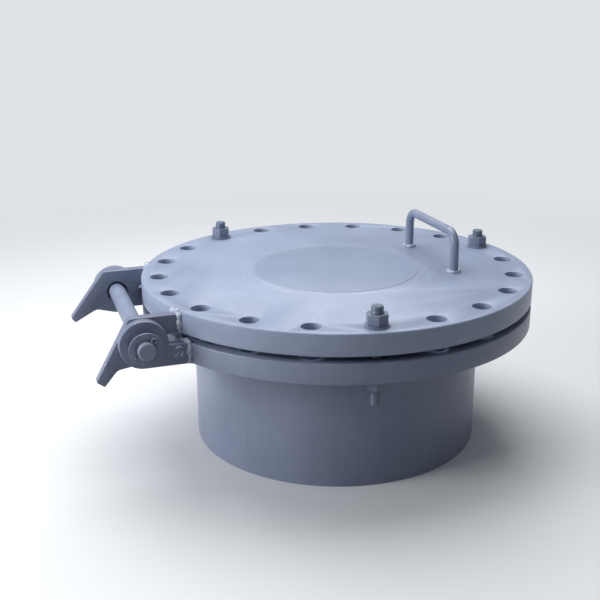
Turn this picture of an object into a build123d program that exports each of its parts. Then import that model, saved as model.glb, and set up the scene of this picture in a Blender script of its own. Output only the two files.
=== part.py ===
from build123d import *
import os
from math import cos, radians, sin, sqrt

# Tank manway cover: a bolted blind cover, hinged on a flanged neck that is welded into a tank.
# Millimetres. The origin is the centre of the neck's lower end, +Z runs up the neck,
# the hinge is on the -X side and its pin lies along Y. Front is -Y, back is +Y.

# Neck: a rolled pipe, slipped into its flange and welded there outside and inside.
neck_diameter = 530.0
neck_wall = 10.0
neck_drop = 225.0          # from the neck's lower end to the flange's underside
neck_setback = 8.0         # the neck ends this far below the flange, where the inner weld sits
slip_clearance = 0.4       # radial, between the neck and the flange's bore
neck_weld_leg = 8.0

# Flange and cover, which share their diameter, raised face and bolt holes.
flange_thickness = 36.0
cover_thickness = 38.0
face_width = 40.0          # of the raised face, outwards from the neck's outside
face_height = 4.0
rim_chamfer = 1.5
hole_count = 20
hole_diameter = 33.0
face_to_hole = 3.5         # between the raised face's edge and the bolt holes
hole_to_rim = 16.0
gasket_thickness = 3.0
gasket_margin = 5.0        # how far the gasket's edge lies inside the raised face
pad_diameter = 304.0       # round pad left proud in the middle of the cover's top
pad_height = 0.8
pad_bevel = 0.4

# Bolts: three studs, each with a washer and a nut on the cover and a nut under the flange.
stud_diameter = 20.0
stud_length = 165.0
rear_stud_length = 150.0
stud_proud = 12.6          # of the upper nut
stud_chamfer = 1.5
nut_flats = 32.0
nut_height = 18.0
nut_chamfer = 1.6
nut_clearance = 0.1        # radial, between a stud and the lower nut that it is drawn out of
washer_diameter = 40.0
washer_thickness = 3.0
washer_clearance = 1.0     # radial, round its stud
bolt_holes = {"rear": 3, "right": 9, "front": 15}      # counted from the hinge, over the back
nut_turns = {"rear": 12.0, "right": 4.0, "front": -5.0}

# Hinge: two ears on the cover inside two ears on the flange, on one loose pin.
pin_standoff = 30.5        # from the rims to the pin's axis
pin_diameter = 30.0
pin_chamfer = 2.0
pin_clearance = 0.3        # radial, in the flange's ears
cover_ear_bore = 37.0      # wider than the pin, so that the cover can seat on its gasket
cover_ear_spacing = 264.0  # between the inner faces of the cover's ears
cover_ear_thickness = 18.0
ear_gap = 3.0              # between a cover ear and the flange ear beside it
flange_ear_thickness = 18.0
ear_hub_radius = 41.0      # of a cover ear, below the pin
hub_foot = 12.0            # degrees from straight down, where the tail's lower edge leaves the hub
hub_heel = 48.0            # degrees from straight down, where the arm's lower edge leaves the hub
arm_drop = 5.5             # of a cover ear's top edge below the cover's top
arm_heel = 14.0            # outwards from the rim, where the arm's lower edge reaches the cover's underside
arm_rise = 5.0             # of that edge from there to the rim
shoulder_radius = 10.0
tail_root_radius = 14.0
tail_tip_radius = 2.0
# Each cover ear was cut by hand, so their tails differ. Outwards and down from the pin's axis:
# the shoulder where the top edge turns down, both corners of the cut end, and the root.
tails = {
    "front": {"shoulder": 19.5, "tip": (76.5, 62.4), "end": (63.8, 71.5), "root": (42.0, 45.5)},
    "back": {"shoulder": 24.0, "tip": (87.2, 44.5), "end": (80.5, 53.0), "root": (40.0, 31.5)},
}
ear_weld_radius = 5.0
weld_fullness = 0.3        # more radius where a bead turns a corner
pin_washer_diameter = 56.0
pin_washer_thickness = 4.0
pin_washer_clearance = 0.5
pin_seat = 0.3             # between the back washer and its ear
pin_play = 18.0            # end play, all of it in front: the pin has slid that way
split_pin_diameter = 6.0
split_pin_room = 0.3       # between the wire and what is round it or beside it
split_pin_tilt = 38.0      # of the split pins, in degrees from upright towards the cover
split_pin_eye = 6.0
split_pin_leg = 4.5        # across one leg
split_pin_spread = 62.0    # of each bent leg from the shank, in degrees
pin_overhang = 6.7         # from a split pin's axis to the pin's end

# Handle: a bent round bar, welded on opposite the hinge.
handle_bar = 16.0
handle_offset = 194.0      # from the cover's axis
handle_span = 194.0        # between the axes of its legs
handle_height = 80.0
handle_bend = 24.0
handle_weld_leg = 5.5

# Levels and radii that follow.
flange_bottom = neck_drop
flange_top = flange_bottom + flange_thickness
flange_face = flange_top + face_height
cover_face = flange_face + gasket_thickness
cover_bottom = cover_face + face_height
cover_top = cover_bottom + cover_thickness
neck_radius = neck_diameter / 2
bore_radius = neck_radius + slip_clearance
face_radius = neck_radius + face_width
bolt_circle_radius = face_radius + face_to_hole + hole_diameter / 2
rim_radius = bolt_circle_radius + hole_diameter / 2 + hole_to_rim
neck_top = flange_top - neck_setback
pin_x = -(rim_radius + pin_standoff)
pin_z = flange_face
cover_ear_inner = cover_ear_spacing / 2
cover_ear_outer = cover_ear_inner + cover_ear_thickness
flange_ear_inner = cover_ear_outer + ear_gap
flange_ear_outer = flange_ear_inner + flange_ear_thickness
hole_pitch = 360.0 / hole_count
sides = {"front": -1, "back": 1}


def disc(radius, low, high):
    """An upright cylinder on the neck's axis between two levels."""
    return Pos(0, 0, (low + high) / 2) * Cylinder(radius, high - low)


def bolt_place(index):
    """Where a bolt hole stands: the hinge line runs half-way between the first and the last."""
    angle = radians(180 - (index + 0.5) * hole_pitch)
    return bolt_circle_radius * cos(angle), bolt_circle_radius * sin(angle)


def drilled(plate, low, high):
    """A plate with the ring of bolt holes."""
    for index in range(hole_count):
        x, y = bolt_place(index)
        plate -= Pos(x, y, (low + high) / 2) * Cylinder(hole_diameter / 2, high - low + 2)
    return plate


def ring(points):
    """A solid of revolution about the neck's axis from (radius, z) corners."""
    return revolve(make_face(Polyline([(r, 0, z) for r, z in points], close=True)), Axis.Z)


def crosswise(sketch, inner, thickness, side):
    """A plate across Y from a sketch drawn round the pin: x away from the hinge, y up."""
    start = inner if side > 0 else -inner - thickness
    plane = Plane(origin=(pin_x, start + thickness, pin_z), x_dir=(1, 0, 0), z_dir=(0, -1, 0))
    return extrude(plane * sketch, amount=thickness)


def along_pin(radius, start, end):
    """A cylinder on the pin's axis between two places on Y."""
    return Pos(pin_x, (start + end) / 2, pin_z) * Rot(90, 0, 0) * Cylinder(radius, abs(end - start))


def outline(corners):
    """A sketch from (x, y, radius) corners, each rounded where its radius isn't 0."""
    sketch = make_face(Polyline([(x, y) for x, y, radius in corners], close=True))
    for x, y, radius in corners:
        if radius:
            corner = sketch.vertices().sort_by_distance((x, y, 0))[0]
            sketch = fillet(corner, radius)
    return sketch


def make_neck():
    return disc(neck_radius, 0, neck_top) - disc(neck_radius - neck_wall, -1, neck_top + 1)


def make_neck_flange():
    plate = disc(rim_radius, flange_bottom, flange_top)
    plate = chamfer(plate.edges().filter_by(GeomType.CIRCLE), rim_chamfer)
    plate += disc(face_radius, flange_top - 1, flange_face)
    plate -= disc(bore_radius, flange_bottom - 1, flange_face + 1)
    return drilled(plate, flange_bottom, flange_face)


def make_outer_weld():
    """The fillet weld under the flange, round the neck."""
    return ring([(neck_radius, flange_bottom), (neck_radius + neck_weld_leg, flange_bottom),
                 (neck_radius, flange_bottom - neck_weld_leg)])


def make_inner_weld():
    """The fillet weld on the neck's end, inside the flange's bore."""
    leg = min(neck_weld_leg, neck_setback, neck_wall)
    return ring([(bore_radius, neck_top), (bore_radius - leg, neck_top), (bore_radius, neck_top + leg)])


def make_gasket():
    outside = disc(face_radius - gasket_margin, flange_face, cover_face)
    return outside - disc(bore_radius, flange_face - 1, cover_face + 1)


def make_cover_plate():
    plate = disc(rim_radius, cover_bottom, cover_top)
    plate = chamfer(plate.edges().filter_by(GeomType.CIRCLE), rim_chamfer)
    plate += disc(face_radius, cover_face, cover_bottom + 1)
    pad = disc(pad_diameter / 2, cover_top - 1, cover_top + pad_height)
    plate += chamfer(pad.edges().sort_by(Axis.Z)[-1], pad_bevel)
    return drilled(plate, cover_face, cover_top)


def on_hub(angle):
    """A point low on a cover ear's hub, at an angle from straight down towards the cover."""
    return ear_hub_radius * sin(radians(angle)), -ear_hub_radius * cos(radians(angle))


def cover_ear_sketch(end):
    """A cover ear's side view: an arm from the rim, half a hub, and a tail that stops the cover."""
    tail = tails[end]
    arm_top = cover_top - arm_drop - pin_z
    rim = pin_standoff + rim_radius - sqrt(rim_radius ** 2 - cover_ear_outer ** 2) + ear_weld_radius
    root_low = cover_bottom - pin_z
    heel = pin_standoff + rim_radius - sqrt(rim_radius ** 2 - cover_ear_inner ** 2) - arm_heel
    sketch = outline([
        (rim, arm_top, 0),
        (-tail["shoulder"], arm_top, shoulder_radius),
        (-tail["tip"][0], -tail["tip"][1], tail_tip_radius),
        (-tail["end"][0], -tail["end"][1], tail_tip_radius),
        (-tail["root"][0], -tail["root"][1], tail_root_radius),
        (*on_hub(-hub_foot), 0),
        (*on_hub(hub_heel), 0),
        (heel, root_low, 0),
        (rim, root_low + arm_rise, 0),
    ])
    below = Pos(0, -ear_hub_radius) * Rectangle(2 * ear_hub_radius, 2 * ear_hub_radius)
    return sketch + (Circle(ear_hub_radius) & below)


def make_cover_ear(end):
    side = sides[end]
    ear = crosswise(cover_ear_sketch(end), cover_ear_inner, cover_ear_thickness, side)
    ear -= disc(rim_radius, cover_bottom - 1, cover_top + 1)
    reach = side * (cover_ear_outer + 1)
    return ear - along_pin(cover_ear_bore / 2, side * (cover_ear_inner - 1), reach)


def make_flange_ear(side):
    """A round-ended lug, as deep as the flange, bored for the pin."""
    radius = pin_z - flange_bottom
    rim = pin_standoff + rim_radius - sqrt(rim_radius ** 2 - flange_ear_outer ** 2) + ear_weld_radius
    bar = Pos(rim / 2, (flange_bottom + flange_top) / 2 - pin_z) * Rectangle(rim, flange_thickness)
    ear = crosswise(Circle(radius) + bar, flange_ear_inner, flange_ear_thickness, side)
    ear -= disc(rim_radius, flange_bottom - 1, pin_z)
    bore = pin_diameter / 2 + pin_clearance
    return ear - along_pin(bore, side * (flange_ear_inner - 1), side * (flange_ear_outer + 1))


def rim_x(y):
    """The rims' -X side at a distance across."""
    return -sqrt(rim_radius ** 2 - y ** 2)


def make_cover_ear_weld(end):
    """One bead up the inner corner, over the ear's top edge and down the outer corner."""
    side = sides[end]
    top = cover_top - arm_drop
    height = top - cover_bottom
    bead = None
    for y in (cover_ear_inner, cover_ear_outer):
        leg = Pos(rim_x(y), side * y, cover_bottom + height / 2) * Cylinder(ear_weld_radius, height)
        cap = Pos(rim_x(y), side * y, top) * Sphere(ear_weld_radius + weld_fullness)
        bead = leg + cap if bead is None else bead + leg + cap
    middle = (rim_x(cover_ear_inner) + rim_x(cover_ear_outer)) / 2
    lean = rim_x(cover_ear_outer) - rim_x(cover_ear_inner)
    run = sqrt(lean ** 2 + cover_ear_thickness ** 2)
    across = Plane(origin=(middle, side * (cover_ear_inner + cover_ear_outer) / 2, top),
                   z_dir=(lean, side * cover_ear_thickness, 0))
    bead += across * Cylinder(ear_weld_radius, run)
    bead -= crosswise(cover_ear_sketch(end), cover_ear_inner, cover_ear_thickness, side)
    return bead - disc(rim_radius, cover_bottom - 1, cover_top + 1)


def make_flange_ear_weld(side):
    """A bead down the outer corner of a flange ear."""
    y = flange_ear_outer
    bead = Pos(rim_x(y), side * y, (flange_bottom + flange_top) / 2)
    bead *= Cylinder(ear_weld_radius, flange_thickness)
    bar = Box(2 * rim_radius, flange_ear_thickness, flange_thickness)
    middle = (flange_ear_inner + flange_ear_outer) / 2
    bead -= Pos(-rim_radius, side * middle, (flange_bottom + flange_top) / 2) * bar
    return bead - disc(rim_radius, flange_bottom - 1, flange_top + 1)


# Places along the pin: positive behind, negative in front.
back_washer = flange_ear_outer + pin_seat
front_washer = -(flange_ear_outer + pin_seat + pin_play)
washers = {"back": (back_washer, back_washer + pin_washer_thickness),
           "front": (front_washer, front_washer - pin_washer_thickness)}
split_offset = split_pin_diameter / 2 + split_pin_room
split_places = {name: place[1] + sides[name] * split_offset for name, place in washers.items()}
pin_ends = {name: place + sides[name] * pin_overhang for name, place in split_places.items()}


def make_hinge_pin():
    pin = along_pin(pin_diameter / 2, pin_ends["front"], pin_ends["back"])
    pin = chamfer(pin.edges().filter_by(GeomType.CIRCLE), pin_chamfer)
    for place in split_places.values():
        hole = Cylinder(split_pin_diameter / 2 + split_pin_room, pin_diameter + 2)
        pin -= Pos(pin_x, place, pin_z) * Rot(0, split_pin_tilt, 0) * hole
    return pin


def make_pin_washer(name):
    start, end = washers[name]
    over = pin_washer_thickness
    bore = along_pin(pin_diameter / 2 + pin_washer_clearance, start - over, end + over)
    return along_pin(pin_washer_diameter / 2, start, end) - bore


def make_split_pin(name):
    """A split pin: an eye on top, a shank through the pin, and two legs bent apart below."""
    wire = split_pin_diameter / 2
    top = pin_diameter / 2 + wire
    low = -pin_diameter / 2 - wire
    pin = Pos(0, 0, (top + low) / 2) * Cylinder(wire, top - low)
    eye_centre = top + split_pin_eye - wire / 2
    pin += Pos(0, 0, eye_centre) * Rot(90, 0, 0) * Torus(split_pin_eye, split_pin_leg / 2)
    leg = Pos(0, 0, -split_pin_eye) * Cylinder(split_pin_leg / 2, 2 * split_pin_eye)
    for spread in (-split_pin_spread, split_pin_spread):
        pin += Pos(0, 0, low) * Rot(0, spread, 0) * leg
    return Pos(pin_x, split_places[name], pin_z) * Rot(0, split_pin_tilt, 0) * pin


def make_handle():
    top = handle_height - handle_bar / 2
    half = handle_span / 2
    route = FilletPolyline((handle_offset, -half, cover_top), (handle_offset, -half, cover_top + top),
                           (handle_offset, half, cover_top + top), (handle_offset, half, cover_top),
                           radius=handle_bend)
    start = Plane(origin=(handle_offset, -half, cover_top), z_dir=(0, 0, 1))
    return sweep(start * Circle(handle_bar / 2), path=route)


def make_handle_welds():
    """A fillet weld round each leg of the handle."""
    inside = handle_bar / 2
    outside = inside + handle_weld_leg
    corners = [(inside, 0, 0), (outside, 0, 0), (inside, 0, handle_weld_leg)]
    weld = revolve(make_face(Polyline(corners, close=True)), Axis.Z)
    half = handle_span / 2
    return Compound([Pos(handle_offset, y, cover_top) * weld for y in (-half, half)])


# Levels of the bolts.
washer_top = cover_top + washer_thickness
upper_nut_top = washer_top + nut_height
stud_top = upper_nut_top + stud_proud
stud_lengths = {"rear": rear_stud_length, "right": stud_length, "front": stud_length}


def make_stud(name):
    length = stud_lengths[name]
    rod = Pos(0, 0, stud_top - length / 2) * Cylinder(stud_diameter / 2, length)
    return chamfer(rod.edges().filter_by(GeomType.CIRCLE), stud_chamfer)


def make_nut(low, bore, turn):
    """A hexagon nut with its corners turned off at both ends."""
    hexagon = Rot(0, 0, turn) * RegularPolygon(nut_flats / 2, 6, major_radius=False)
    nut = Pos(0, 0, low) * extrude(hexagon, amount=nut_height)
    blank = Pos(0, 0, low + nut_height / 2) * Cylinder(nut_flats / sqrt(3), nut_height)
    nut &= chamfer(blank.edges().filter_by(GeomType.CIRCLE), nut_chamfer)
    return nut - Pos(0, 0, low + nut_height / 2) * Cylinder(bore, nut_height + 2)


def make_washer():
    middle = cover_top + washer_thickness / 2
    bore = stud_diameter / 2 + washer_clearance
    return Pos(0, 0, middle) * (Cylinder(washer_diameter / 2, washer_thickness)
                                - Cylinder(bore, washer_thickness + 2))


def make_bolt(name):
    """A bolt's pieces in place; its lower nut stays with the flange."""
    x, y = bolt_place(bolt_holes[name])
    facing = 180 - (bolt_holes[name] + 0.5) * hole_pitch + nut_turns[name]
    own_bore = stud_diameter / 2
    return {
        f"stud_{name}": Pos(x, y, 0) * make_stud(name),
        f"upper_washer_{name}": Pos(x, y, 0) * make_washer(),
        f"upper_nut_{name}": Pos(x, y, 0) * make_nut(washer_top, own_bore, facing),
        f"lower_nut_{name}": Pos(x, y, 0) * make_nut(flange_bottom - nut_height,
                                                     own_bore + nut_clearance, facing),
    }


parts = {
    "neck": make_neck(),
    "neck_flange": make_neck_flange(),
    "flange_weld_outer": make_outer_weld(),
    "flange_weld_inner": make_inner_weld(),
    "gasket": make_gasket(),
    "cover_plate": make_cover_plate(),
    "hinge_pin": make_hinge_pin(),
    "handle": make_handle(),
    "handle_welds": make_handle_welds(),
}
for end, side in sides.items():
    parts[f"cover_ear_{end}"] = make_cover_ear(end)
    parts[f"cover_ear_weld_{end}"] = make_cover_ear_weld(end)
    parts[f"flange_ear_{end}"] = make_flange_ear(side)
    parts[f"flange_ear_weld_{end}"] = make_flange_ear_weld(side)
    parts[f"pin_washer_{end}"] = make_pin_washer(end)
    parts[f"split_pin_{end}"] = make_split_pin(end)
for bolt in bolt_holes:
    parts.update(make_bolt(bolt))

os.makedirs("parts", exist_ok=True)
for node, shape in parts.items():
    export_step(shape, f"parts/{node}.step")
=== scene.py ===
import math
import random
import bmesh
import bpy
from mathutils import Matrix, Vector


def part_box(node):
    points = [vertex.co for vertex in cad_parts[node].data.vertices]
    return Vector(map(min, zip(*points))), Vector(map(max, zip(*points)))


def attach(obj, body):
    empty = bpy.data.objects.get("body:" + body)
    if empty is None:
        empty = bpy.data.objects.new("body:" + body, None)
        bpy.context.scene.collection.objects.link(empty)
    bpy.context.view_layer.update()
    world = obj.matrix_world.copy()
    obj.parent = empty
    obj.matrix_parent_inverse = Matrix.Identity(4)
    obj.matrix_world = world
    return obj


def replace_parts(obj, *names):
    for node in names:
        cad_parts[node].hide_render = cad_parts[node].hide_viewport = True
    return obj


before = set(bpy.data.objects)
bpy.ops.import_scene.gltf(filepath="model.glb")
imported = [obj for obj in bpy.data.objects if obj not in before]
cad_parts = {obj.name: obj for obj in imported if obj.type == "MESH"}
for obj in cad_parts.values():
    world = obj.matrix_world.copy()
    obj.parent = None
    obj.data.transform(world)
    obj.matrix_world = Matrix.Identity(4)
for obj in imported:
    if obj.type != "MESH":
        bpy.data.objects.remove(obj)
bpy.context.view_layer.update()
bpy.context.scene.view_settings.view_transform = "Standard"


# Camera: at standing height before the front of the manway, turned so that the hinge lies to
# the left, and looking a little down on the cover. Metres and degrees.
cover_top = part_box("upper_washer_front")[0].z
hinge_turn = -20.47
camera_back = 1.711
camera_rise = 0.4998
camera_yaw = 2.2265
camera_dip = 18.22
camera_roll = -0.313
camera_lens_mm = 57.43
camera_sensor_mm = 36.0
camera_sees_to = 500.0

stand_round = Matrix.Rotation(math.radians(hinge_turn), 4, "Z")
camera = bpy.data.objects.new("camera", bpy.data.cameras.new("camera"))
camera.data.lens = camera_lens_mm
camera.data.sensor_width = camera_sensor_mm
camera.data.clip_end = camera_sees_to
camera.matrix_world = (
    Matrix.Translation((0, 0, cover_top + camera_rise))
    @ stand_round
    @ Matrix.Translation((0, -camera_back, 0))
    @ Matrix.Rotation(math.radians(camera_yaw), 4, "Z")
    @ Matrix.Rotation(math.radians(90 - camera_dip), 4, "X")
    @ Matrix.Rotation(math.radians(camera_roll), 4, "Z")
)
bpy.context.scene.collection.objects.link(camera)
bpy.context.scene.camera = camera


# Studio: a wide overhead softbox a little behind the manway, a smaller soft light on its left,
# and a dim pale room. The floor is plain and pale, and fades into a backdrop of the same tone;
# what it throws back on the manway is kept low, so that the sides stay darker than the top.
floor_colour = "#E2E4E7"
floor_bounce = "#85878B"
floor_roughness = 0.7
floor_half_width = 120
backdrop_colour = "#DFE2E6"
room_strength = 0.285
backdrop_starts = 0.75
backdrop_full = 2.4
crease_degrees = 38
# Each light's place, what it is aimed at, its width in metres and its power in watts.
soft_lights = {
    "overhead": ((-0.25, 0.80, 2.35), (0, 0, 0.3), 2.3, 68.0),
    "left": ((-1.95, -0.85, 1.00), (0, 0, 0.1), 1.1, 34.0),
}


def colour(hex_code):
    """The linear colour of an sRGB hex value."""
    channels = [int(hex_code[i:i + 2], 16) / 255 for i in (1, 3, 5)]
    linear = [c / 12.92 if c <= 0.04045 else ((c + 0.055) / 1.055) ** 2.4 for c in channels]
    return (*linear, 1.0)


def node(tree, kind, settings=(), links=()):
    """A shader node with its settings and its incoming links."""
    made = tree.nodes.new(kind)
    for key, value in dict(settings).items():
        if isinstance(key, int) or key in made.inputs:
            made.inputs[key].default_value = value
        else:
            setattr(made, key, value)
    for key, socket in dict(links).items():
        tree.links.new(socket, made.inputs[key])
    return made


# The room is pale where it is seen and dim as a light, by Light Path in the world.
world = bpy.data.worlds.new("pale room")
world.use_nodes = True
room = world.node_tree.nodes["Background"]
room.inputs["Color"].default_value = colour(backdrop_colour)
seen_room = node(world.node_tree, "ShaderNodeLightPath").outputs["Is Camera Ray"]
room_level = node(world.node_tree, "ShaderNodeMapRange", {"To Min": room_strength, "To Max": 1.0},
                  {"Value": seen_room})
world.node_tree.links.new(room_level.outputs[0], room.inputs["Strength"])
bpy.context.scene.world = world

for light_name, (place, aim, size, power) in soft_lights.items():
    light = bpy.data.lights.new(light_name, "AREA")
    light.size = size
    light.energy = power
    lamp = bpy.data.objects.new(light_name, light)
    here = stand_round @ Vector(place)
    towards = Vector(aim) - here
    lamp.matrix_world = Matrix.Translation(here) @ towards.to_track_quat("-Z", "Y").to_matrix().to_4x4()
    bpy.context.scene.collection.objects.link(lamp)


def piece_from(shape, name, finish, body=None):
    """A bmesh made into a smooth-sided piece that rides on a body."""
    mesh = bpy.data.meshes.new(name)
    shape.to_mesh(mesh)
    shape.free()
    mesh.shade_smooth()
    mesh.set_sharp_from_angle(angle=math.radians(crease_degrees))
    mesh.materials.append(finish)
    piece = bpy.data.objects.new(name, mesh)
    bpy.context.scene.collection.objects.link(piece)
    if body:
        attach(piece, body)
    return piece


backdrop = bpy.data.materials.new("pale studio floor")
backdrop.use_nodes = True
tree = backdrop.node_tree
path = node(tree, "ShaderNodeLightPath")
mirrored = node(tree, "ShaderNodeMath", {"operation": "MAXIMUM"},
                {0: path.outputs["Is Glossy Ray"], 1: path.outputs["Is Transmission Ray"]})
seen = node(tree, "ShaderNodeMath", {"operation": "MAXIMUM"},
            {0: path.outputs["Is Camera Ray"], 1: mirrored.outputs[0]})
tint = node(tree, "ShaderNodeMix", {"data_type": "RGBA", 6: colour(floor_bounce), 7: colour(floor_colour)},
            {0: seen.outputs[0]})
reach = node(tree, "ShaderNodeVectorMath", {"operation": "LENGTH"},
             {0: node(tree, "ShaderNodeTexCoord").outputs["Object"]})
far = node(tree, "ShaderNodeMapRange",
           {"interpolation_type": "SMOOTHSTEP", "From Min": backdrop_starts, "From Max": backdrop_full},
           {"Value": reach.outputs["Value"]})
fade = node(tree, "ShaderNodeMath", {"operation": "MULTIPLY"}, {0: far.outputs[0], 1: seen.outputs[0]})
glow = node(tree, "ShaderNodeEmission", {"Color": colour(backdrop_colour), "Strength": 1.0})
floor_surface = tree.nodes["Principled BSDF"]
floor_surface.inputs["Roughness"].default_value = floor_roughness
tree.links.new(tint.outputs[2], floor_surface.inputs["Base Color"])
skin = node(tree, "ShaderNodeMixShader", {},
            {0: fade.outputs[0], 1: floor_surface.outputs[0], 2: glow.outputs[0]})
tree.links.new(skin.outputs[0], tree.nodes["Material Output"].inputs["Surface"])
floor = bmesh.new()
bmesh.ops.create_grid(floor, x_segments=1, y_segments=1, size=floor_half_width)
piece_from(floor, "studio_floor", backdrop)


# Neck: a length of rolled steel pipe, slipped up into its flange. It wears the same blue-grey
# machinery enamel as the rest: brushed on in one coat over mill scale, so it is semi-gloss,
# a little cloudy, and shows the strokes of the brush.
neck_body = "neck_and_flange"
enamel_blue = "#8A93AC"
enamel_ior = 1.5
cloud_share = 0.78
stroke_share = 0.22
cloud_contrast = (0.32, 0.68)
grain_mm = 1.6
grain_share = 0.25
brush_ridge = 0.0008


def enamel(name, tone, shade, cloud_mm, stroke_mm, stroke_axis="Z", gloss=(0.30, 0.44), relief=0.05):
    """Machinery enamel over steel: clouds between two tones, and fine brush strokes along an axis."""
    made = bpy.data.materials.new(name)
    made.use_nodes = True
    tree = made.node_tree
    place = node(tree, "ShaderNodeTexCoord").outputs["Object"]
    cloud = node(tree, "ShaderNodeTexNoise", {"Scale": 1000 / cloud_mm, "Detail": 4.0, "Roughness": 0.6},
                 {"Vector": place})
    across, along = (1000 / size for size in stroke_mm)
    stretch = [along if axis == stroke_axis else across for axis in "XYZ"]
    stroke_place = node(tree, "ShaderNodeMapping", {"Scale": stretch}, {"Vector": place})
    stroke = node(tree, "ShaderNodeTexNoise",
                  {"Scale": 1.0, "Detail": 3.0, "Roughness": 0.6, "Distortion": 0.4},
                  {"Vector": stroke_place.outputs[0]})
    grain = node(tree, "ShaderNodeTexNoise", {"Scale": 1000 / grain_mm, "Detail": 2.0}, {"Vector": place})
    faint = node(tree, "ShaderNodeMath", {"operation": "MULTIPLY", 1: stroke_share},
                 {0: stroke.outputs["Fac"]})
    blend = node(tree, "ShaderNodeMath", {"operation": "MULTIPLY_ADD", 1: cloud_share},
                 {0: cloud.outputs["Fac"], 2: faint.outputs[0]})
    spread = node(tree, "ShaderNodeMapRange",
                  {"From Min": cloud_contrast[0], "From Max": cloud_contrast[1]}, {"Value": blend.outputs[0]})
    paint = node(tree, "ShaderNodeMix", {"data_type": "RGBA", 6: colour(shade), 7: colour(tone)},
                 {0: spread.outputs[0]})
    dull = node(tree, "ShaderNodeMapRange", {"To Min": gloss[1], "To Max": gloss[0]},
                {"Value": stroke.outputs["Fac"]})
    height = node(tree, "ShaderNodeMath", {"operation": "MULTIPLY_ADD", 1: grain_share},
                  {0: grain.outputs["Fac"], 2: stroke.outputs["Fac"]})
    bump = node(tree, "ShaderNodeBump", {"Strength": relief, "Distance": brush_ridge},
                {"Height": height.outputs[0]})
    surface = tree.nodes["Principled BSDF"]
    surface.inputs["IOR"].default_value = enamel_ior
    tree.links.new(paint.outputs[2], surface.inputs["Base Color"])
    tree.links.new(dull.outputs[0], surface.inputs["Roughness"])
    tree.links.new(bump.outputs[0], surface.inputs["Normal"])
    return made


def refinished(piece, finish):
    """A piece with this finish in place of the one that it came with."""
    piece.data.materials.clear()
    piece.data.materials.append(finish)


# Wide clouds and long strokes round the pipe.
neck_enamel = enamel("blue-grey enamel on rolled pipe", enamel_blue, "#7B859D", cloud_mm=120,
                     stroke_mm=(9, 160))
refinished(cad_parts["neck"], neck_enamel)


# Neck flange: a forged and turned ring with a raised face, drilled for the bolts. Its sharp
# edges are knocked off with a file before painting, so each one catches a thin line of light.
file_round = 0.0008
doubles_within = 2e-6
flat_within_degrees = 0.4
edge_from_degrees = 35
# Finer strokes than on the pipe: the turned steel under the paint is smoother.
flange_enamel = enamel("blue-grey enamel on turned steel", enamel_blue, "#79839B", cloud_mm=90,
                       stroke_mm=(4, 60))


def eased(name, width, finish, body):
    """A copy of a node with its sharp edges eased by a small round."""
    shape = bmesh.new()
    shape.from_mesh(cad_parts[name].data)
    bmesh.ops.remove_doubles(shape, verts=shape.verts, dist=doubles_within)
    bmesh.ops.dissolve_limit(shape, angle_limit=math.radians(flat_within_degrees), verts=shape.verts,
                             edges=shape.edges)
    sharp = [edge for edge in shape.edges
             if len(edge.link_faces) == 2 and edge.calc_face_angle() > math.radians(edge_from_degrees)]
    bmesh.ops.bevel(shape, geom=sharp, offset=width, segments=2, affect="EDGES", profile=0.5, material=-1,
                    clamp_overlap=True)
    piece = piece_from(shape, name + "_painted", finish, body)
    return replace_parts(piece, name)


eased("neck_flange", file_round, flange_enamel, neck_body)


# Welds of the neck: a stick-electrode fillet outside under the flange, and another inside on
# the pipe's end. The beads are laid by hand, so their ripples are uneven; they are painted over.
weld_voxel = 0.0010
weld_settling = 2
# The paint stands thick and wet-looking on the ripples, so it is glossier than on plate; its much paler tone
# is a painted highlight on the beads.
weld_enamel = enamel("blue-grey enamel on weld beads", "#C3CCDC", "#8F99AE", cloud_mm=8, stroke_mm=(3, 6),
                     gloss=(0.10, 0.26), relief=0.35)


def bead(name, route, radius, body, spatter=(), uneven=0.12, voxel=weld_voxel):
    """Overlapping puddles of weld metal along a route, melted into one skin, with spatter beside it."""
    shape = bmesh.new()
    chance = random.Random(name)
    for point in route:
        wander = Vector([chance.uniform(-uneven, uneven) * radius for axis in "xyz"])
        size = radius * chance.uniform(1 - 1.6 * uneven, 1 + uneven)
        bmesh.ops.create_icosphere(shape, subdivisions=2, radius=size,
                                   matrix=Matrix.Translation(Vector(point) + wander))
    for point, size in spatter:
        bmesh.ops.create_icosphere(shape, subdivisions=2, radius=size, matrix=Matrix.Translation(point))
    piece = piece_from(shape, name, weld_enamel, body)
    melt = piece.modifiers.new("melted together", "REMESH")
    melt.mode = "VOXEL"
    melt.voxel_size = voxel
    melt.use_smooth_shade = True
    settle = piece.modifiers.new("settled", "SMOOTH")
    settle.iterations = weld_settling
    return piece


def steps(start, end, spacing):
    """Points from start to end, about a spacing apart."""
    start, end = Vector(start), Vector(end)
    count = max(2, round((end - start).length / spacing) + 1)
    return [start.lerp(end, i / (count - 1)) for i in range(count)]


outer_low, outer_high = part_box("flange_weld_outer")
neck_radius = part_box("neck")[1].x
outer_leg = outer_high.z - outer_low.z
outer_set_off = outer_leg * 0.18
outer_radius = outer_leg * 0.62
outer_round = [Matrix.Rotation(math.radians(a), 3, "Z")
               @ Vector((neck_radius + outer_set_off, 0, outer_high.z - outer_set_off))
               for a in range(360)]
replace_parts(bead("flange_weld_outer_bead", outer_round, outer_radius, neck_body), "flange_weld_outer")
refinished(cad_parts["flange_weld_inner"], weld_enamel)


# Gasket: a ring cut from dark pressed sheet and laid between the raised faces. It is the only
# piece that isn't painted, so it is matt and slightly speckled.
gasket_sheet = enamel("pressed gasket sheet", "#2B2C2F", "#1E1F22", cloud_mm=6, stroke_mm=(1.2, 1.4),
                      gloss=(0.75, 0.9), relief=0.2)
refinished(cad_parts["gasket"], gasket_sheet)
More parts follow.
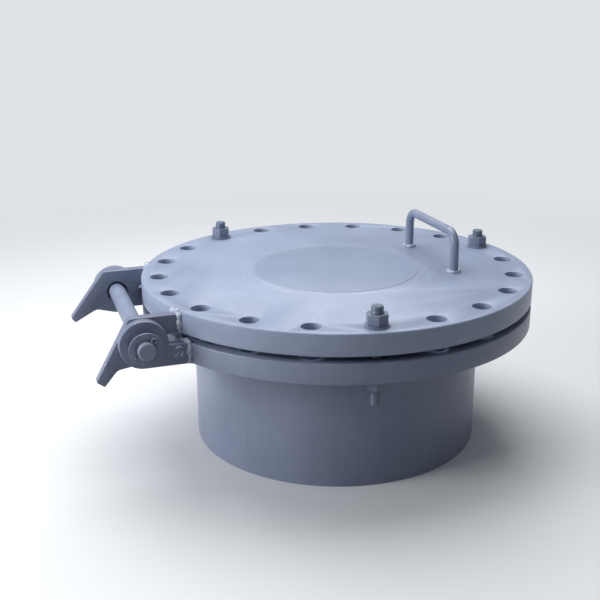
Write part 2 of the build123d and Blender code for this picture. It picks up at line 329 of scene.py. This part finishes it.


# Cover: a thick drilled plate with a round pad left proud in the middle. Whoever painted it
# worked the brush round the pad and straight across the rest; just outside the pad the round
# strokes carry a painted highlight, a paler ring that stands in for light caught at the pad's edge.
cover_body = "cover"
pad_radius = 0.152
pad_edge = 0.001
pad_tone = "#75839A"
pad_depth = 0.30
ring_beyond_pad = 0.012
ring_half_width = 0.030
ring_core = 0.004
# Painted highlight: the ring's paler tone stands in for light caught along the pad's edge.
ring_highlight_tone = "#B6C3D6"
ring_highlight_strength = 0.55
ring_contrast = (0.45, 0.75)
# Per radian round the pad and per metre outwards: strokes about 75 mm long and 5 mm wide.
ring_strokes = (2.2, 210, 1)


def cover_enamel():
    """Enamel with straight strokes across the cover, and round ones at the pad's edge carrying a paler ring
    that is a painted highlight.
    """
    made = enamel("blue-grey enamel brushed on the cover", "#9BA7C0", "#8C98B1", cloud_mm=110,
                  stroke_mm=(7, 190), stroke_axis="Y", relief=0.06)
    tree = made.node_tree
    surface = tree.nodes["Principled BSDF"]
    place = node(tree, "ShaderNodeTexCoord").outputs["Object"]
    flat = node(tree, "ShaderNodeSeparateXYZ", {}, {0: place})
    angle = node(tree, "ShaderNodeMath", {"operation": "ARCTAN2"}, {0: flat.outputs[1], 1: flat.outputs[0]})
    level = node(tree, "ShaderNodeVectorMath", {"operation": "MULTIPLY", 1: (1, 1, 0)}, {0: place})
    out = node(tree, "ShaderNodeVectorMath", {"operation": "LENGTH"}, {0: level.outputs[0]})
    polar = node(tree, "ShaderNodeCombineXYZ", {}, {0: angle.outputs[0], 1: out.outputs["Value"]})
    polar_stretch = node(tree, "ShaderNodeMapping", {"Scale": ring_strokes}, {"Vector": polar.outputs[0]})
    ring_stroke = node(tree, "ShaderNodeTexNoise", {"Scale": 1.0, "Detail": 4.0, "Roughness": 0.65},
                       {"Vector": polar_stretch.outputs[0]})
    away = node(tree, "ShaderNodeMath", {"operation": "SUBTRACT", 1: pad_radius + ring_beyond_pad},
                {0: out.outputs["Value"]})
    near = node(tree, "ShaderNodeMath", {"operation": "ABSOLUTE"}, {0: away.outputs[0]})
    band = node(tree, "ShaderNodeMapRange", {"From Min": ring_half_width, "From Max": ring_core},
                {"Value": near.outputs[0]})
    bright = node(tree, "ShaderNodeMapRange",
                  {"From Min": ring_contrast[0], "From Max": ring_contrast[1], "To Max": ring_highlight_strength},
                  {"Value": ring_stroke.outputs["Fac"]})
    amount = node(tree, "ShaderNodeMath", {"operation": "MULTIPLY"},
                  {0: band.outputs[0], 1: bright.outputs[0]})
    plain = surface.inputs["Base Color"].links[0].from_socket
    # The painted highlight: the paler ring mixed over the enamel's own colour.
    lit = node(tree, "ShaderNodeMix", {"data_type": "RGBA", 7: colour(ring_highlight_tone)},
               {0: amount.outputs[0], 6: plain})
    inside = node(tree, "ShaderNodeMapRange",
                  {"From Min": pad_radius + pad_edge, "From Max": pad_radius - pad_edge},
                  {"Value": out.outputs["Value"]})
    dimmed = node(tree, "ShaderNodeMath", {"operation": "MULTIPLY", 1: pad_depth}, {0: inside.outputs[0]})
    padded = node(tree, "ShaderNodeMix", {"data_type": "RGBA", 7: colour(pad_tone)},
                  {0: dimmed.outputs[0], 6: lit.outputs[2]})
    tree.links.new(padded.outputs[2], surface.inputs["Base Color"])
    return made


eased("cover_plate", file_round, cover_enamel(), cover_body)


# Handle: one round steel bar, bent twice cold and welded by its two ends to the cover opposite
# the hinge, where a hand lifts it. A row of weld puddles runs round each foot.
foot_bead_radius = 0.0042
foot_bead_off = 0.0012
foot_bead_every = 20
# Short upright strokes, and a little more gloss than on the plates.
bar_enamel = enamel("blue-grey enamel on bent bar", enamel_blue, "#7B859D", cloud_mm=30, stroke_mm=(2, 40),
                    gloss=(0.28, 0.42))
refinished(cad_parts["handle"], bar_enamel)
handle_low, handle_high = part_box("handle")
bar_radius = (handle_high.x - handle_low.x) / 2
bar_x = (handle_high.x + handle_low.x) / 2
foot_welds = []
for foot_y in (handle_low.y + bar_radius, handle_high.y - bar_radius):
    for a in range(0, 360, foot_bead_every):
        lean = Vector((math.cos(math.radians(a)), math.sin(math.radians(a)), 0))
        lean *= bar_radius + foot_bead_off
        foot_welds.append(Vector((bar_x, foot_y, cover_top + foot_bead_off)) + lean)
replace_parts(bead("handle_foot_beads", foot_welds, foot_bead_radius, cover_body), "handle_welds")


# Cover ears: flame-cut plates welded to the cover's rim. Each has a hole with room round the
# pin, and a tail that comes to bear under the flange's rim and stops the open cover.
ear_round = 0.0018
# Darker and duller than the turned pieces: the flame leaves a rough, streaked edge under it.
ear_enamel = enamel("blue-grey enamel on flame-cut plate", "#7E87A0", "#6E778F", cloud_mm=45,
                    stroke_mm=(4, 40), gloss=(0.32, 0.5), relief=0.16)
for end in ("front", "back"):
    eased(f"cover_ear_{end}", ear_round, ear_enamel, cover_body)


# Flange ears: round-ended steel lugs as deep as the flange, flame-cut too and welded to its rim
# outside the cover's ears. They carry the pin.
for end in ("front", "back"):
    eased(f"flange_ear_{end}", ear_round, ear_enamel, neck_body)


# Ear welds: short hand-laid beads in the corners between the ears and the rims, painted over,
# with spatter left where it fell. One drop hangs on the tail of the front cover ear.
rim_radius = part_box("neck_flange")[1].x
cover_low = cover_top - 0.038
flange_low, flange_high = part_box("neck_flange")[0].z, cover_top - 0.049
pin_line = (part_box("hinge_pin")[0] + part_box("hinge_pin")[1]) / 2
up = Vector((0, 0, 1))
puddles_apart = 0.003
ear_bead_wander = 0.22
cover_bead_radius = 0.0052
cover_bead_out = 0.0006
cover_bead_foot = 0.004
cover_bead_over = 0.001
lug_bead_radius = 0.0050
lug_bead_out = 0.0004
lug_bead_foot = 0.003
spatter_drops = 11
spatter_radius = (0.0012, 0.0028)
spatter_out = (0.004, 0.028)
spatter_foot = 0.008
tail_drop_radius = 0.0026
tail_drop_back = 0.0604
tail_drop_down = 0.034


def on_rim(side, across, out):
    """A point this far across on the side of the rims, and this far out from them."""
    return Vector((-math.sqrt(rim_radius ** 2 - across ** 2) - out, side * across, 0))


for end, side in (("front", -1), ("back", 1)):
    ear_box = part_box(f"cover_ear_{end}")
    inner, outer = sorted(abs(corner.y) for corner in ear_box)
    ear_top = ear_box[1].z
    near_corner, far_corner = on_rim(side, inner, cover_bead_out), on_rim(side, outer, cover_bead_out)
    foot = up * (cover_low + cover_bead_foot)
    over = up * (ear_top + cover_bead_over)
    route = steps(near_corner + foot, near_corner + up * ear_top, puddles_apart)
    route += steps(near_corner + over, far_corner + over, puddles_apart)
    route += steps(far_corner + up * ear_top, far_corner + foot, puddles_apart)
    tail_drops = []
    if end == "front":
        tail = Vector((pin_line.x - tail_drop_back, ear_box[0].y, pin_line.z - tail_drop_down))
        tail_drops.append((tail, tail_drop_radius))
    cover_bead = bead(f"cover_ear_{end}_bead", route, cover_bead_radius, cover_body, tail_drops,
                      ear_bead_wander)
    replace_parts(cover_bead, f"cover_ear_weld_{end}")

    inner, outer = sorted(abs(corner.y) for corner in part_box(f"flange_ear_{end}"))
    near_lug, far_lug = on_rim(side, inner, lug_bead_out), on_rim(side, outer, lug_bead_out)
    lug_route = steps(near_lug + up * flange_high, far_lug + up * flange_high, puddles_apart)
    lug_route += steps(far_lug + up * flange_high, far_lug + up * (flange_low + lug_bead_foot), puddles_apart)
    chance = random.Random(end)
    spatter = []
    for drop in range(spatter_drops):
        out = chance.uniform(*spatter_out)
        level = chance.uniform(flange_low + spatter_foot, flange_high)
        spatter.append((far_lug + Vector((-out, 0, level)), chance.uniform(*spatter_radius)))
    lug_bead = bead(f"flange_ear_{end}_bead", lug_route, lug_bead_radius, neck_body, spatter, ear_bead_wander)
    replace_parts(lug_bead, f"flange_ear_weld_{end}")


# Hinge pin: a turned bar, loose in the ears, with a washer and a split pin at each end. A split
# pin is one half-round wire folded double: an eye, and two legs through the pin, bent apart below.
pin_body = "pin"
# A shade paler than the ears and glossier, with the strokes along the bar.
pin_enamel = enamel("blue-grey enamel on turned bar", "#8F99B1", "#7F89A1", cloud_mm=40, stroke_mm=(3, 60),
                    stroke_axis="Y", gloss=(0.28, 0.42))
refinished(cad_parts["hinge_pin"], pin_enamel)
# Small pieces take the paint in dabs, so their clouds and strokes are short.
washer_enamel = enamel("blue-grey enamel on washers and nuts", "#7F89A1", "#6A738A", cloud_mm=18,
                       stroke_mm=(2, 12), gloss=(0.28, 0.45))
fastener_round = 0.0005
pin_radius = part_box("hinge_pin")[1].z - pin_line.z
wire_radius = 0.0017
wire_step = 0.0009
eye_radius = 0.0036
eye_every = 12
leg_apart = wire_radius * 0.8
leg_below = 0.001
leg_bend_out = 0.0068
leg_bend_down = 0.0030
split_tilt = 38.0
split_voxel = 0.0006
for end in ("front", "back"):
    eased(f"pin_washer_{end}", fastener_round, washer_enamel, pin_body)
    split_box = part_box(f"split_pin_{end}")
    split_line = Vector((pin_line.x, (split_box[0].y + split_box[1].y) / 2, pin_line.z))
    tilt = Matrix.Rotation(math.radians(split_tilt), 3, "Y")
    eye = Vector((0, 0, pin_radius + wire_radius + eye_radius))
    wire = [eye + Matrix.Rotation(math.radians(a), 3, "Y") @ Vector((0, 0, eye_radius))
            for a in range(0, 360, eye_every)]
    for way in (-1, 1):
        leg_top = Vector((way * leg_apart, 0, pin_radius + wire_radius))
        leg_end = Vector((way * leg_apart, 0, -pin_radius - leg_below))
        bent = leg_end + Vector((way * leg_bend_out, 0, -leg_bend_down))
        wire += steps(leg_top, leg_end, wire_step) + steps(leg_end, bent, wire_step)
    split_route = [split_line + tilt @ point for point in wire]
    split_piece = bead(f"split_pin_{end}_wire", split_route, wire_radius, pin_body, uneven=0.0,
                       voxel=split_voxel)
    refinished(split_piece, washer_enamel)
    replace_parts(split_piece, f"split_pin_{end}")


# Bolts: rolled-thread studs with a washer and a nut on the cover and a nut under the flange.
# The threads are half filled with paint, so they are shallower than they were cut.
thread_pitch = 0.0025
thread_depth = 0.0007
thread_sides = 24
thread_taper = 0.0016
washer_round = 0.0004


def threaded_stud(name, finish, body):
    """A rod with a helical thread from end to end, its ends cut flat and slightly tapered."""
    low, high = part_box(name)
    radius = (high.x - low.x) / 2
    axis = Vector(((high.x + low.x) / 2, (high.y + low.y) / 2, 0))
    turns = math.ceil((high.z - low.z) / thread_pitch) + 2
    shape = bmesh.new()
    root, crest = radius - thread_depth, radius
    profile = [shape.verts.new((r, 0, low.z + z * thread_pitch - 2 * thread_pitch))
               for r, z in ((root, 0), (root, 0.2), (crest, 0.5), (crest, 0.62), (root, 1))]
    ridge = [shape.edges.new(pair) for pair in zip(profile, profile[1:])]
    bmesh.ops.spin(shape, geom=profile + ridge, cent=(0, 0, 0), axis=(0, 0, 1),
                   dvec=(0, 0, thread_pitch / thread_sides), angle=math.tau * turns,
                   steps=thread_sides * turns, use_merge=False)
    bmesh.ops.remove_doubles(shape, verts=shape.verts, dist=1e-6)
    for level, facing in ((low.z, -1), (high.z, 1)):
        every = shape.verts[:] + shape.edges[:] + shape.faces[:]
        cut = bmesh.ops.bisect_plane(shape, geom=every, plane_co=(0, 0, level), plane_no=(0, 0, facing),
                                     clear_outer=True, dist=1e-7)
        rim = [part for part in cut["geom_cut"] if isinstance(part, bmesh.types.BMEdge)]
        bmesh.ops.edgeloop_fill(shape, edges=rim)
    for vert in shape.verts:
        depth = min(vert.co.z - low.z, high.z - vert.co.z)
        limit = radius - max(0.0, thread_taper - depth)
        flat = math.hypot(vert.co.x, vert.co.y)
        if flat > limit:
            vert.co.x *= limit / flat
            vert.co.y *= limit / flat
    bmesh.ops.recalc_face_normals(shape, faces=shape.faces)
    bmesh.ops.translate(shape, verts=shape.verts, vec=axis)
    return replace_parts(piece_from(shape, name + "_threaded", finish, body), name)


# Darker and cloudier than the nuts.
thread_enamel = enamel("blue-grey enamel on threads", "#7B889E", "#5F6B80", cloud_mm=12, stroke_mm=(2, 5),
                       gloss=(0.26, 0.42))
for place in ("rear", "right", "front"):
    bolt_body = f"bolt_{place}"
    threaded_stud(f"stud_{place}", thread_enamel, bolt_body)
    eased(f"upper_nut_{place}", fastener_round, washer_enamel, bolt_body)
    eased(f"upper_washer_{place}", washer_round, washer_enamel, bolt_body)
    eased(f"lower_nut_{place}", fastener_round, washer_enamel, neck_body)
